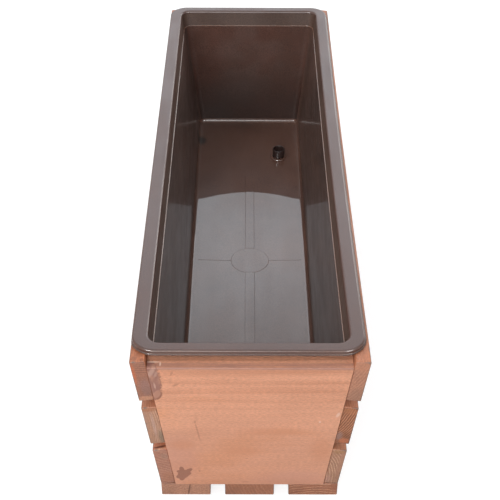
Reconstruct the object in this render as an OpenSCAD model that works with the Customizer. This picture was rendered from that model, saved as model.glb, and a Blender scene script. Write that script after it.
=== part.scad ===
// Slatted wooden planter with a lift-out plastic trough.
// Origin at the middle of the underside, +Y along the length, +Z up, millimetres.
// The wooden box is two end boards with three leaning slats nailed along each side
// and three slats nailed underneath. The trough hangs in it by its rim.

/* [Slats] */
// Length of every side and floor slat
slat_l = 612; // [300:1:1000]
// Width of a side slat, measured up the slope
side_slat_w = 46; // [38:1:60]
// Thickness of a side slat
side_slat_t = 13; // [10:0.5:18]
// Open gap between two side slats, measured up the slope
side_gap = 8.5; // [4:0.5:20]
// Lean of the side walls from upright, in degrees
lean = 6.8; // [2:0.1:11]
// Width of the box across its foot
foot_w = 158; // [146:1:230]
// Width of a floor slat
floor_slat_w = 44; // [36:1:48]
// Thickness of a floor slat
floor_slat_t = 16; // [12:0.5:22]

/* [End boards] */
// Thickness of an end board
end_board_t = 16; // [13:0.5:20]
// How far an end board stands out past the slat ends
end_board_proud = 1; // [0:0.1:3]
// How far the top of an end board lies below the top of the side slats
end_board_drop = 5.4; // [2:0.1:9]

/* [Nails] */
// Diameter of a nail's shank
nail_d = 2.2; // [1.6:0.1:2.8]
// Diameter of a nail's head
nail_head_d = 5; // [4:0.1:6]
// Thickness of a nail's head
nail_head_t = 0.8; // [0.5:0.1:1.2]
// Length of a nail under its head
nail_l = 32; // [28:0.5:38]
// How deep a head is set below the face of the wood
nail_set = 0.2; // [0.1:0.1:1]
// Clearance round a nail, on the radius
nail_clear = 0.05; // [0.02:0.01:0.1]
// Distance between the rows of side nails and floor nails in an end board
nail_stagger = 4; // [3.4:0.1:5]

/* [Trough] */
// Wall thickness of the trough
wall = 1.2; // [1:0.1:1.6]
// Clearance between the trough and the side slats when it hangs in the middle
side_clear = 1.8; // [0.6:0.1:3]
// Clearance left beside the left side slats, which the trough hangs nearer to
left_clear = 0.8; // [0.4:0.1:1.5]
// How far the trough hangs behind the middle of the box
trough_back = 1.2; // [0:0.1:1.5]
// Clearance left between the trough's rim and the slats that it hangs on
seat_gap = 0.3; // [0.25:0.05:0.5]
// Clearance between the trough's wall and the rear end board
end_clear = 2; // [1:0.1:6]
// Wood left bare beside the rim, on each side when the trough hangs in the middle
rim_side_inset = 1.25; // [0.75:0.05:5]
// Wood left bare past the rim at each end, when the trough hangs in the middle
rim_end_inset = 4.5; // [3:0.5:9]
// How far the foot of the rim's turned-down edge stands out
rim_foot_out = 2.2; // [1:0.1:3]
// Height of the rim's turned-down edge
rim_h = 4.5; // [3.5:0.1:7]
// Radius of the rim's outer corners
rim_corner_r = 20; // [14:1:24]
// Radius of the trough's inner corners at the rim
mouth_corner_r = 10; // [6:0.5:14]
// Radius of the trough's inner corners at the floor
floor_corner_r = 8; // [5:0.5:12]
// Height of the upright collar between the rim and the ledge
collar_h = 18; // [10:1:30]
// How much farther the collar's ends spread at the rim than at the ledge
collar_flare = 2.6; // [0:0.05:3]
// Width of the ledge along the sides
ledge_side = 0.8; // [0.4:0.1:2]
// Width of the ledge along the ends
ledge_end = 1; // [0.4:0.1:3]
// Extra room between the trough and the side slats down at its floor
floor_side_taper = 0.2; // [0:0.1:6]
// How much each end wall leans in towards the floor
end_draft = 3.6; // [0:0.1:12]
// Air under the trough, above the floor slats
under_gap = 3.6; // [2:0.1:10]

/* [Drain plug] */
// Diameter of the plug's head
plug_d = 15; // [12:0.5:18]
// Height of the plug's head
plug_h = 10.8; // [6:0.2:16]
// Diameter of the plug's shank in the drain hole
plug_shank_d = 11; // [7:0.5:11]
// Wall of the hollow head
plug_wall = 1.4; // [1:0.1:2]
// Running clearance round the shank, on the radius
plug_clear = 0.05; // [0.02:0.01:0.1]
// How far the shank reaches below the trough
plug_reach = 0.9; // [0.2:0.1:1.5]
// Distance of the plug from the trough's centre line
plug_x = 38; // [20:0.5:44]
// Distance of the plug from the inside of the rear end wall
plug_end_dist = 81.3; // [30:0.1:120]
// Diameter of the raised seat round the drain hole
seat_d = 20; // [16:0.5:22]
// Height of the raised seat round the drain hole
seat_h = 0.8; // [0.4:0.1:2]

/* [Hidden] */
$fn = 64;
// Facets of round corners inside a hull
hull_fn = 32;
// Thickness of the thin plates that a hull spans
slice = 0.02;
// How far a cutter runs past the face that it cuts
over = 1;
wood = "#C98B63";
wood_dark = "#B07650";
plastic = "#4A3A34";
steel = "#9A9890";
side_levels = [0, 1, 2];
floor_places = [-1, 0, 1];

// Side walls: z and half width at the slats' upper outer edges, and the half width
// between the slats at a height z
slats_h = 3 * side_slat_w + 2 * side_gap;
slat_top_z = floor_slat_t + slats_h * cos(lean);
slat_top_half_w = foot_w / 2 + slats_h * sin(lean);
function inner_half_w(z) =
    foot_w / 2 - side_slat_t / cos(lean) + (z - floor_slat_t) * tan(lean);

// End boards
board_top_z = slat_top_z - end_board_drop;
board_outer_y = slat_l / 2 + end_board_proud;
board_inner_y = board_outer_y - end_board_t;
board_mid_y = board_outer_y - end_board_t / 2;

// Floor slats
floor_gap = (foot_w - 3 * floor_slat_w) / 2;
floor_pitch = floor_slat_w + floor_gap;

// Nails
side_nail_y = board_mid_y - nail_stagger / 2;
floor_nail_y = board_mid_y + nail_stagger / 2;
// Slope length of the top slat that lies above the reach of a nail in the end board
function lost_w(level) =
    level == 2 ? end_board_drop / cos(lean) + nail_l * tan(lean) : 0;
function side_nail_s(level) =
    [for (share = [1 / 4, 3 / 4]) share * (side_slat_w - lost_w(level))];
outer_slat_x = foot_w / 2 - floor_slat_w;
board_foot_half_w = inner_half_w(floor_slat_t);
function floor_nail_x(place) =
    place == 0
    ? [-floor_slat_w / 4, floor_slat_w / 4]
    : [for (share = [1 / 4, 3 / 4])
        place * (outer_slat_x + share * (board_foot_half_w - outer_slat_x))];

// Trough, given by its inner faces
trough_x = left_clear - side_clear;
// The rim's round corners come down on the slats' upper inner edges
seat_z = slat_top_z + side_slat_t * sin(lean);
rim_half_w = slat_top_half_w - rim_side_inset;
rim_low_z = seat_z + seat_gap;
rim_top_z = rim_low_z + rim_h;
rim_half_l = slat_l / 2 - rim_end_inset;
ledge_z = rim_top_z - collar_h;
floor_z = floor_slat_t + under_gap + wall;
function trough_half_w(z) = inner_half_w(z) - side_clear - wall;
ledge_half_w = trough_half_w(ledge_z) - ledge_side;
floor_half_w = trough_half_w(floor_z) - floor_side_taper;
collar_half_l = board_inner_y - trough_back - end_clear - wall;
ledge_half_l = collar_half_l - ledge_end;
floor_half_l = ledge_half_l - end_draft;
// Half width, half length and corner radius of the collar at a height z, grown by g
function collar_at(z, g) = [
    trough_half_w(z) + g,
    collar_half_l + (z - ledge_z) / collar_h * collar_flare + g,
    mouth_corner_r + g
];

// Drain plug
plug_y = floor_half_l - plug_end_dist;
plug_seat_z = floor_z + seat_h;
plug_bore_d = plug_shank_d + 2 * plug_clear;
plug_low_z = floor_z - wall - plug_reach;

// Puts its children in the slope frame of the right wall: origin at the outer foot edge,
// +Z up the slope, +X out of the face
module on_slope() {
    translate([foot_w / 2, 0, floor_slat_t]) rotate([0, lean, 0]) children();
}

// Mirrors its children to the left wall where side is -1
module to_side(side) {
    if (side < 0) mirror([1, 0, 0]) children();
    else children();
}

// Nail places of one side slat, each pointing into the wood along its own +Z
module side_nail_sites(level) {
    on_slope()
        for (end = [-1, 1])
            for (s = side_nail_s(level))
                translate([0, end * side_nail_y, level * (side_slat_w + side_gap) + s])
                    rotate([0, -90, 0])
                        children();
}

// Nail places of one floor slat, pointing up
module floor_nail_sites(place) {
    for (end = [-1, 1])
        for (x = floor_nail_x(place))
            translate([x, end * floor_nail_y, 0])
                children();
}

// One nail, its head set below the face at z = 0
module nail() {
    translate([0, 0, nail_set]) cylinder(d = nail_head_d, h = nail_head_t);
    translate([0, 0, nail_set]) cylinder(d = nail_d, h = nail_l);
}

// The hole that one nail makes
module nail_hole() {
    translate([0, 0, -over])
        cylinder(d = nail_head_d + 2 * nail_clear, h = over + nail_set + nail_head_t);
    cylinder(d = nail_d + 2 * nail_clear, h = nail_set + nail_l + nail_clear);
}

module side_slat(side, level) {
    color(level == 1 ? wood_dark : wood)
        to_side(side) difference() {
            on_slope()
                translate([-side_slat_t, -slat_l / 2, level * (side_slat_w + side_gap)])
                    cube([side_slat_t, slat_l, side_slat_w]);
            side_nail_sites(level) nail_hole();
        }
}

module side_slat_nails(side, level) {
    color(steel) to_side(side) side_nail_sites(level) nail();
}

module floor_slat(place) {
    color(wood_dark) difference() {
        translate([place * floor_pitch - floor_slat_w / 2, -slat_l / 2, 0])
            cube([floor_slat_w, slat_l, floor_slat_t]);
        floor_nail_sites(place) nail_hole();
    }
}

module floor_slat_nails(place) {
    color(steel) floor_nail_sites(place) nail();
}

// Board between the side slats, cut to their slope, end is -1 at the front and 1 at the rear
module end_board(end) {
    color(wood) difference() {
        translate([0, end > 0 ? board_outer_y : -board_inner_y, 0])
            rotate([90, 0, 0])
                linear_extrude(height = end_board_t)
                    polygon([
                        [-inner_half_w(floor_slat_t), floor_slat_t],
                        [inner_half_w(floor_slat_t), floor_slat_t],
                        [inner_half_w(board_top_z), board_top_z],
                        [-inner_half_w(board_top_z), board_top_z]
                    ]);
        for (side = [-1, 1])
            for (level = side_levels)
                to_side(side) side_nail_sites(level) nail_hole();
        for (place = floor_places)
            floor_nail_sites(place) nail_hole();
    }
}

// Flat rectangle with round corners, given by its half sizes
module round_rect(half_w, half_l, r) {
    square([2 * half_w, 2 * (half_l - r)], center = true);
    square([2 * (half_w - r), 2 * half_l], center = true);
    for (x = [-1, 1])
        for (y = [-1, 1])
            translate([x * (half_w - r), y * (half_l - r)]) circle(r = r);
}

module round_block(half_w, half_l, r, z0, z1) {
    translate([0, 0, z0]) linear_extrude(height = z1 - z0) round_rect(half_w, half_l, r);
}

// Block that widens from z0 to z1; each end is [half width, half length, corner radius]
module flared_block(low, high, z0, z1) {
    hull() {
        round_block(low[0], low[1], low[2], z0, z0 + slice, $fn = hull_fn);
        round_block(high[0], high[1], high[2], z1 - slice, z1, $fn = hull_fn);
    }
}

// Body and collar of the trough, grown by g on every side: 0 gives the hollow
module trough_form(g) {
    // The hollow runs out of the top
    top_z = rim_top_z + (g > 0 ? -wall : over);
    low_z = ledge_z - g;
    flared_block(
        [floor_half_w + g, floor_half_l + g, floor_corner_r + g],
        [ledge_half_w + g, ledge_half_l + g, mouth_corner_r - ledge_side + g],
        floor_z - g, ledge_z);
    flared_block(collar_at(low_z, g), collar_at(top_z, g), low_z, top_z);
}

// Block inside the rim's foot, drawn in from its edge by g
module rim_block(g, z0, z1) {
    round_block(rim_half_w - g, rim_half_l - g, rim_corner_r - g, z0, z1);
}

// Rim: a flat flange with its outer edge turned down and a small foot that stands out
module rim() {
    difference() {
        union() {
            rim_block(rim_foot_out, rim_low_z, rim_top_z);
            rim_block(0, rim_low_z, rim_low_z + wall);
        }
        rim_block(rim_foot_out + wall, rim_low_z - over, rim_top_z - wall);
    }
}

module trough() {
    color(plastic) translate([trough_x, trough_back, 0]) difference() {
        union() {
            rim();
            trough_form(wall);
            translate([plug_x, plug_y, floor_z - wall / 2])
                cylinder(d = seat_d, h = wall / 2 + seat_h);
        }
        difference() {
            trough_form(0);
            translate([plug_x, plug_y, floor_z - over])
                cylinder(d = seat_d, h = over + seat_h);
        }
        translate([plug_x, plug_y, floor_z - wall - over])
            cylinder(d = plug_bore_d, h = wall + seat_h + 2 * over);
    }
}

// Hollow push-in plug: it rests on its head's shoulder, round the drain hole
module drain_plug() {
    color(plastic) translate([trough_x + plug_x, trough_back + plug_y, 0]) difference() {
        union() {
            translate([0, 0, plug_low_z])
                cylinder(d = plug_shank_d, h = plug_seat_z - plug_low_z + over);
            translate([0, 0, plug_seat_z]) cylinder(d = plug_d, h = plug_h);
        }
        translate([0, 0, plug_seat_z + plug_wall])
            cylinder(d = plug_d - 2 * plug_wall, h = plug_h);
    }
}

end_board(-1);  // front_end_board
end_board(1);  // rear_end_board
side_slat(-1, 0);  // left_bottom_slat
side_slat(-1, 1);  // left_middle_slat
side_slat(-1, 2);  // left_top_slat
side_slat(1, 0);  // right_bottom_slat
side_slat(1, 1);  // right_middle_slat
side_slat(1, 2);  // right_top_slat
floor_slat(-1);  // left_floor_slat
floor_slat(0);  // centre_floor_slat
floor_slat(1);  // right_floor_slat
side_slat_nails(-1, 0);  // left_bottom_slat_nails
side_slat_nails(-1, 1);  // left_middle_slat_nails
side_slat_nails(-1, 2);  // left_top_slat_nails
side_slat_nails(1, 0);  // right_bottom_slat_nails
side_slat_nails(1, 1);  // right_middle_slat_nails
side_slat_nails(1, 2);  // right_top_slat_nails
floor_slat_nails(-1);  // left_floor_slat_nails
floor_slat_nails(0);  // centre_floor_slat_nails
floor_slat_nails(1);  // right_floor_slat_nails
trough();
drain_plug();
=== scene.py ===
import math

import bmesh
import bpy
from mathutils import Matrix, Vector, noise


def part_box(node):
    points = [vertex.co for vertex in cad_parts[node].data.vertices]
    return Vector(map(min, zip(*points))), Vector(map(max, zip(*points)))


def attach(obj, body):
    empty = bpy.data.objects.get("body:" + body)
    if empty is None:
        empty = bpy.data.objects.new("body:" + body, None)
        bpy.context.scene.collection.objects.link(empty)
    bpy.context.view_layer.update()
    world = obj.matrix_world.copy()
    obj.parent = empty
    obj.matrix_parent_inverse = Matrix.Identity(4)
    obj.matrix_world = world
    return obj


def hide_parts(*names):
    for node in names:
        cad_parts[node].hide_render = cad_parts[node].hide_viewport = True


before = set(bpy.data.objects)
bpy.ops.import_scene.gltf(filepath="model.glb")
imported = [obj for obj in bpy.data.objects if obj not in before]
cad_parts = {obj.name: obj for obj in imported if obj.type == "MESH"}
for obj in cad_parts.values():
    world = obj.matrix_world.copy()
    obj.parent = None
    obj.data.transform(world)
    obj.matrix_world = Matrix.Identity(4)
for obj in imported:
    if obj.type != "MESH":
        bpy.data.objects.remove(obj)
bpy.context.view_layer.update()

mm = 0.001
scene = bpy.context.scene
print("frame loaded:", len(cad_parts), "nodes")

def metresOf(values):   # from mm
    return [value * mm for value in values]


def radiansOf(values):   # from degrees
    return [math.radians(value) for value in values]


# Camera, found from the photograph's edges
cameraSettings = {
    "place": (-3.73, -891.26, 771.62),   # mm, in the planter's frame
    "pitch": 39.62,                      # degrees down
    "yaw": 0.29,
    "roll": 0.33,
    "focalPixels": 1043.88,
    "framePixels": 500,
    "sensor": 36.0,
    "nearest": 0.01,                     # metres
}


def makeCamera(settings):
    pitch, yaw, roll = radiansOf(settings[key] for key in ("pitch", "yaw", "roll"))
    data = bpy.data.cameras.new("camera")
    data.sensor_width = settings["sensor"]
    data.lens = settings["focalPixels"] * settings["sensor"] / settings["framePixels"]
    data.clip_start = settings["nearest"]
    camera = bpy.data.objects.new("camera", data)
    heading = Matrix.Rotation(-yaw, 4, "Z") @ Matrix.Rotation(math.pi / 2 - pitch, 4, "X")
    turn = heading @ Matrix.Rotation(roll, 4, "Z")
    camera.matrix_world = Matrix.Translation(metresOf(settings["place"])) @ turn
    scene.collection.objects.link(camera)
    scene.camera = camera


makeCamera(cameraSettings)
print("camera made")


def paint(red, green, blue):   # 0 to 255 as seen on a screen, to Blender's linear colour
    def straight(value):
        value /= 255
        return value / 12.92 if value <= 0.04045 else ((value + 0.055) / 1.055) ** 2.4
    return (straight(red), straight(green), straight(blue), 1.0)


def feed(node, values):   # links sockets, sets plain values, and gives the node's outputs
    for key, value in values.items():
        if isinstance(value, bpy.types.NodeSocket):
            node.id_data.links.new(value, node.inputs[key])
        else:
            node.inputs[key].default_value = value
    return node.outputs


def addNode(kind, values, **settings):   # in the node tree that the sockets among its values belong to
    tree = next(value.id_data for value in values.values() if isinstance(value, bpy.types.NodeSocket))
    node = tree.nodes.new("ShaderNode" + kind)
    for key, value in settings.items():
        setattr(node, key, value)
    return feed(node, values)


def useGroup(group, values):
    return addNode("Group", values, node_tree=group)


def calc(operation, first, second=0.0):
    return addNode("Math", {0: first, 1: second}, operation=operation)[0]


def times(first, second):
    return calc("MULTIPLY", first, second)


def swing(value, amount):   # a noise from 0 to 1 as a swing round 0
    return times(calc("SUBTRACT", value, 0.5), amount)


def fade(value, low, high, toLow=0.0, toHigh=1.0):   # smooth step from low to high
    limits = {"Value": value, "From Min": low, "From Max": high, "To Min": toLow, "To Max": toHigh}
    return addNode("MapRange", limits, interpolation_type="SMOOTHSTEP")["Result"]


def blend(factor, first, second, mode="MIX"):
    return addNode("Mix", {0: factor, 6: first, 7: second}, data_type="RGBA", blend_type=mode)[2]


def cover(colour, mask, strength, above):   # paints another colour over, where the mask is
    return blend(times(mask, strength), colour, above)


def shaded(colour, value):   # the colour times a value
    grey = addNode("CombineColor", {0: value, 1: value, 2: value})[0]
    return blend(1.0, colour, grey, "MULTIPLY")


def vectorCalc(operation, first, second=(0, 0, 0)):
    return addNode("VectorMath", {0: first, 1: second}, operation=operation)


def seenFrom(vector, place, turn, scale=(1, 1, 1)):
    values = {"Vector": vector, "Location": place, "Rotation": turn, "Scale": scale}
    return addNode("Mapping", values, vector_type="TEXTURE")[0]


def noiseAt(vector, stretch, scale, detail=2.0, roughness=0.5):
    stretched = vectorCalc("MULTIPLY", vector, stretch)[0]
    values = {"Vector": stretched, "Scale": scale, "Detail": detail, "Roughness": roughness}
    return addNode("TexNoise", values)["Fac"]


def addRelief(shader, height, strength, depth):   # depth in mm
    bump = addNode("Bump", {"Strength": strength, "Distance": depth * mm, "Height": height})
    feed(shader, {"Normal": bump[0]})


# Sockets of the node groups that carry a vector; all others carry a number
vectorSockets = {"Vector", "Bent", "Place", "Half Size", "Centre", "Turn", "Radii"}


def newGroup(name, inputs, outputs):
    group = bpy.data.node_groups.new(name, "ShaderNodeTree")
    for direction, labels in (("INPUT", inputs), ("OUTPUT", outputs)):
        for label in labels:
            kind = "NodeSocketVector" if label in vectorSockets else "NodeSocketFloat"
            group.interface.new_socket(name=label, in_out=direction, socket_type=kind)
    return group, group.nodes.new("NodeGroupInput").outputs, group.nodes.new("NodeGroupOutput")


def newMaterial(name):
    material = bpy.data.materials.new(name)
    material.use_nodes = True
    tree = material.node_tree
    return material, tree, tree.nodes["Principled BSDF"]


# Growth rings round a pith that runs along Y, wavering a little along the trunk
def makeRingGroup():
    tree, given, result = newGroup("growthRings", ("Vector", "Ring Width", "Wobble"), ("Late", "Tone"))
    place = given["Vector"]
    width = given["Ring Width"]
    radius = vectorCalc("LENGTH", vectorCalc("MULTIPLY", place, (1, 0, 1))[0])["Value"]
    slow = noiseAt(place, (1, 0.16, 1), 16, 1.5)
    quick = noiseAt(place, (1, 0.05, 1), 110, 2)
    waver = calc("ADD", swing(slow, given["Wobble"]), swing(quick, width))
    turns = calc("DIVIDE", calc("ADD", radius, waver), width)
    phase = calc("FRACT", turns)
    late = times(fade(phase, 0.25, 0.9), fade(phase, 0.93, 1.0, 1.0, 0.0))
    number = calc("FLOOR", turns)
    tone = addNode("TexWhiteNoise", {"W": number}, noise_dimensions="1D")["Value"]
    feed(result, {"Late": late, "Tone": tone})
    return tree


# Long fibres along Y, and short dark pores among them
def makeFibreGroup():
    tree, given, result = newGroup("woodFibre", ("Vector",), ("Streak", "Pore"))
    fine = noiseAt(given["Vector"], (1, 0.02, 1), 1500, 2)
    broad = noiseAt(given["Vector"], (1, 0.035, 1), 260, 3, 0.6)
    streak = calc("ADD", times(fine, 0.45), times(broad, 0.55))
    pore = noiseAt(given["Vector"], (1, 0.06, 1), 2600, 1)
    feed(result, {"Streak": fade(streak, 0.3, 0.7), "Pore": fade(pore, 0.6, 0.72)})
    return tree


# A knot that runs through the thickness (X): bends the grain round it, and gives its dark core
def makeKnotGroup():
    tree, given, result = newGroup("knot", ("Vector", "Place", "Size"), ("Bent", "Core", "Bark"))
    offset = vectorCalc("SUBTRACT", given["Vector"], given["Place"])[0]
    flat = vectorCalc("MULTIPLY", offset, (0, 0.72, 1))[0]
    away = calc("DIVIDE", vectorCalc("LENGTH", flat)["Value"], given["Size"])
    rough = noiseAt(given["Vector"], (1, 1, 1), 240, 2)
    away = calc("ADD", away, swing(rough, 0.5))
    pull = fade(away, 0.4, 3.4, -0.72, 0.0)
    upward = vectorCalc("MULTIPLY", offset, (0, 0, 1))[0]
    bend = addNode("VectorMath", {0: upward, "Scale": pull}, operation="SCALE")[0]
    core = fade(away, 0.9, 1.08, 1.0, 0.0)
    bark = times(core, fade(away, 0.55, 0.92))
    bent = vectorCalc("ADD", given["Vector"], bend)[0]
    feed(result, {"Bent": bent, "Core": core, "Bark": bark})
    return tree


# Mask along the edges of a box centred on the origin, broken up by noise, for darker edges: partly wear,
# partly painted shade
def makeEdgeGroup():
    tree, given, result = newGroup("edgeWearAndShade", ("Vector", "Half Size", "Width"), ("Mask",))
    size = vectorCalc("ABSOLUTE", given["Vector"])[0]
    room = vectorCalc("SUBTRACT", given["Half Size"], size)[0]
    x, y, z = addNode("SeparateXYZ", {0: room})
    low = calc("MINIMUM", x, y)
    high = calc("MAXIMUM", x, y)
    middle = calc("MAXIMUM", low, calc("MINIMUM", high, z))
    ragged = noiseAt(given["Vector"], (1, 0.35, 1), 180, 3, 0.6)
    reach = times(given["Width"], fade(ragged, 0.35, 0.7, 0.4, 1.7))
    near = calc("DIVIDE", middle, reach)
    feed(result, {"Mask": fade(near, 0.2, 1.0, 1.0, 0.0)})
    return tree


# Ragged oval spot, for stains, scuffs and torn grain
def makeSpotGroup():
    inputs = ("Vector", "Centre", "Turn", "Radii", "Ragged", "Soft")
    tree, given, result = newGroup("raggedSpot", inputs, ("Mask",))
    local = seenFrom(given["Vector"], given["Centre"], given["Turn"], given["Radii"])
    rough = noiseAt(given["Vector"], (1, 1, 1), 420, 3, 0.6)
    away = calc("ADD", vectorCalc("LENGTH", local)["Value"], swing(rough, given["Ragged"]))
    inside = calc("SUBTRACT", 1.0, given["Soft"])
    outside = calc("ADD", 1.0, given["Soft"])
    feed(result, {"Mask": fade(away, inside, outside, 1.0, 0.0)})
    return tree


ringGroup = makeRingGroup()
fibreGroup = makeFibreGroup()
knotGroup = makeKnotGroup()
edgeGroup = makeEdgeGroup()
spotGroup = makeSpotGroup()


def spotMask(coords, place, radii, turn, ragged, soft):   # place and radii in mm, turn in degrees
    values = {"Vector": coords, "Centre": metresOf(place), "Turn": radiansOf(turn), "Radii": metresOf(radii)}
    return useGroup(spotGroup, {**values, "Ragged": ragged, "Soft": soft})["Mask"]


# Stained softwood; each board has its own colours, pith, ring width and knots
stain = {
    "knotColour": paint(112, 58, 38),
    "barkColour": paint(66, 33, 24),
    "poreColour": paint(120, 66, 44),
    "edgeWidth": 1.3,          # mm, and so are the next four
    "edgeFade": 3,
    "spotDepth": 9,
    "topSpotDepth": 3,
    "grainDepth": 0.22,
    "roughness": (0.42, 0.6),
    "gloss": 0.35,
    "mottle": 0.14,
}
# What the boards have in common where their own looks don't say otherwise
plainWood = dict(
    grain=(0, 1, 0), wobble=4, relief=0.6, endContrast=0.6, endLine=(0.3, 0.9), knots=[],
)


# Long faces: rings that come and go, fine streaks and broad blotches
def longFaces(look, local, upward, rings, fibre):
    patchy = fade(noiseAt(local, (1, 0.12, 1), 45, 2), 0.32, 0.62, 0.25, 1.0)
    late = times(times(rings["Late"], look["contrast"]), patchy)
    streaked = times(fibre["Streak"], look["streak"])
    if "grainTop" in look:   # the grain is faint below, and grows from one height to another
        low, high, least = look["grainTop"]
        clear = fade(upward, low * mm, high * mm, least, 1.0)
        late = times(late, clear)
        streaked = times(streaked, clear)
    colour = blend(late, paint(*look["early"]), paint(*look["late"]))
    colour = blend(streaked, colour, paint(*look["late"]))
    blotch = noiseAt(local, (1, 0.4, 1), 26, 3, 0.6)
    colour = blend(fade(blotch, 0.5, 0.72, 0.0, look["warmth"]), colour, paint(*look["warm"]))
    toneShade = fade(rings["Tone"], 0.0, 1.0, 0.97, 1.02)
    shade = times(fade(blotch, 0.3, 0.6, look["dim"], 1.03), toneShade)
    mottle = noiseAt(local, (1, 0.3, 1), 1000, 3, 0.7)
    return colour, times(shade, fade(mottle, 0.3, 0.7, 1 - stain["mottle"], 1 + stain["mottle"]))


# End faces are cut across the fibre: rings in lines, strong in places only
def endFaces(look, local, sides, rings):
    line = times(fade(rings["Late"], *look["endLine"]), look["endContrast"])
    line = times(line, fade(noiseAt(local, (1, 1, 1), 70, 2), 0.36, 0.56, 0.3, 1.0))
    if "endZone" in look:   # along one axis the rings grow clearer, from one place to another
        axis, low, high, least = look["endZone"]
        line = times(line, fade(sides[axis], low * mm, high * mm, least, 1.0))
    colour = blend(line, paint(*look["endDark"]), paint(*look["endPale"]))
    grit = noiseAt(local, (1, 1, 1), 520, 3, 0.7)
    colour = blend(fade(grit, 0.4, 0.75, 0.0, 0.45), colour, paint(*look["endShade"]))
    for u, v, radiusU, radiusV, turn, spotColour, strength in look.get("endSpots", []):
        radii = (radiusU, stain["spotDepth"], radiusV)
        spot = spotMask(local, (u, -look["half"][1], v), radii, (0, turn, 0), 0.7, 0.45)
        colour = cover(colour, spot, strength, paint(*spotColour))
    return colour


def woodMaterial(name, ownLook, marks=None):
    look = {**plainWood, **ownLook}
    material, tree, shader = newMaterial(name)
    coords = tree.nodes.new("ShaderNodeTexCoord").outputs
    local = seenFrom(coords["Object"], metresOf(look["centre"]), radiansOf(look["turn"]))
    bent = local
    core = 0.0
    bark = 0.0
    for y, z, size in look["knots"]:
        knot = useGroup(knotGroup, {"Vector": bent, "Place": metresOf((0, y, z)), "Size": size * mm})
        bent = knot["Bent"]
        core = calc("MAXIMUM", knot["Core"], core)
        bark = calc("MAXIMUM", knot["Bark"], bark)
    pithX, pithZ = metresOf(look["pith"])
    heart = seenFrom(bent, (pithX, 0, pithZ), radiansOf(look["tilt"]))
    width, wobble = metresOf((look["ring"], look["wobble"]))
    rings = useGroup(ringGroup, {"Vector": heart, "Ring Width": width, "Wobble": wobble})
    fibre = useGroup(fibreGroup, {"Vector": bent})
    sides = addNode("SeparateXYZ", {0: local})
    colour, shade = longFaces(look, local, sides[2], rings, fibre)
    alongGrain = vectorCalc("DOT_PRODUCT", coords["Normal"], look["grain"])["Value"]
    endFace = fade(calc("ABSOLUTE", alongGrain), 0.6, 0.9)
    colour = blend(endFace, colour, endFaces(look, local, sides, rings))
    # spots on the top face near the front end: specks of the wood, and painted shade where the rim and the
    # slats above shade them
    for x, y, radiusX, radiusY, turn, topSpotColour, strength in look.get("topSpots", []):
        radii = (radiusX, radiusY, stain["topSpotDepth"])
        topSpot = spotMask(local, (x, y, look["half"][2]), radii, (0, 0, turn), 0.5, 0.3)
        colour = cover(colour, topSpot, strength, paint(*topSpotColour))
    colour = cover(colour, fibre["Pore"], look["pores"], stain["poreColour"])
    if look["knots"]:
        colour = cover(colour, core, 0.8, stain["knotColour"])
        colour = cover(colour, bark, 0.85, stain["barkColour"])
    colour = shaded(colour, shade)
    limits = {"Half Size": metresOf(look["half"]), "Width": stain["edgeWidth"] * mm}
    edge = useGroup(edgeGroup, {"Vector": local, **limits})["Mask"]
    # painted shade: on the side slats only the outer edges, which turn away from the light, are dark
    if "outward" in look:   # only the outer edges are dark
        edge = times(edge, fade(times(sides[0], look["outward"]), 0, stain["edgeFade"] * mm))
    # darker edges: partly wear, partly painted shade that dulls the lit roundings
    colour = cover(colour, edge, look["edge"], paint(*look["edgeWearShadeColour"]))
    if marks:
        colour = marks(coords["Object"], colour)
    saw = noiseAt(local, (1, 1, 0.08), 1200, 1)   # saw lines on the end faces
    height = calc("ADD", times(rings["Late"], 0.4), times(fibre["Streak"], 0.5))
    height = calc("SUBTRACT", height, times(fibre["Pore"], 0.3))
    height = calc("ADD", height, times(times(saw, endFace), 1.2))
    addRelief(shader, height, look["relief"], stain["grainDepth"])
    rough = fade(fibre["Streak"], 0.0, 1.0, *stain["roughness"])
    feed(shader, {"Base Color": colour, "Roughness": rough, "Specular IOR Level": stain["gloss"]})
    return material


# The wooden box, as part sizes in mm
box = {
    "slatLength": 612,
    "sideWidth": 46,
    "sideThick": 13,
    "sideGap": 8.5,
    "lean": 6.8,
    "footWidth": 158,
    "floorWidth": 44,
    "floorThick": 16,
    "floorGap": 13,
    "boardDrop": 5.4,
    "bowReach": 285,     # from the middle to where the bowed parts are straight again
}
nails = {
    "headHole": 5.1,
    "holeDepth": 1.0,
    "length": 32,
    "stagger": 4,
}
lean = math.radians(box["lean"])
boardLow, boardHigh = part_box("front_end_board")
boardTop = boardHigh.z / mm
boardMiddle = (boardLow.y + boardHigh.y) / 2 / mm


def innerHalfWidth(z):
    return box["footWidth"] / 2 - box["sideThick"] / math.cos(lean) + (z - box["floorThick"]) * math.tan(lean)


def bowShare(y):
    return max(0.0, 1 - (y / box["bowReach"]) ** 2)


def newBlock(size):   # in metres
    bm = bmesh.new()
    bmesh.ops.create_cube(bm, size=1)
    bmesh.ops.scale(bm, verts=bm.verts, vec=size)
    return bm


def sliceAcross(bm, axis, places):   # places in metres
    direction = Vector((0, 0, 0))
    direction[axis] = 1
    for place in places:
        bmesh.ops.bisect_plane(bm, geom=bm.verts[:] + bm.edges[:] + bm.faces[:], plane_co=direction * place,
                               plane_no=direction)


def smoothFaces(bm):
    for face in bm.faces:
        face.smooth = True


def bevel(bm, items, offset, segments, affect="EDGES"):   # offset in mm
    bmesh.ops.bevel(bm, geom=items[:], offset=offset * mm, offset_type="OFFSET", affect=affect,
                    segments=segments, profile=0.5, material=-1)


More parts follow.
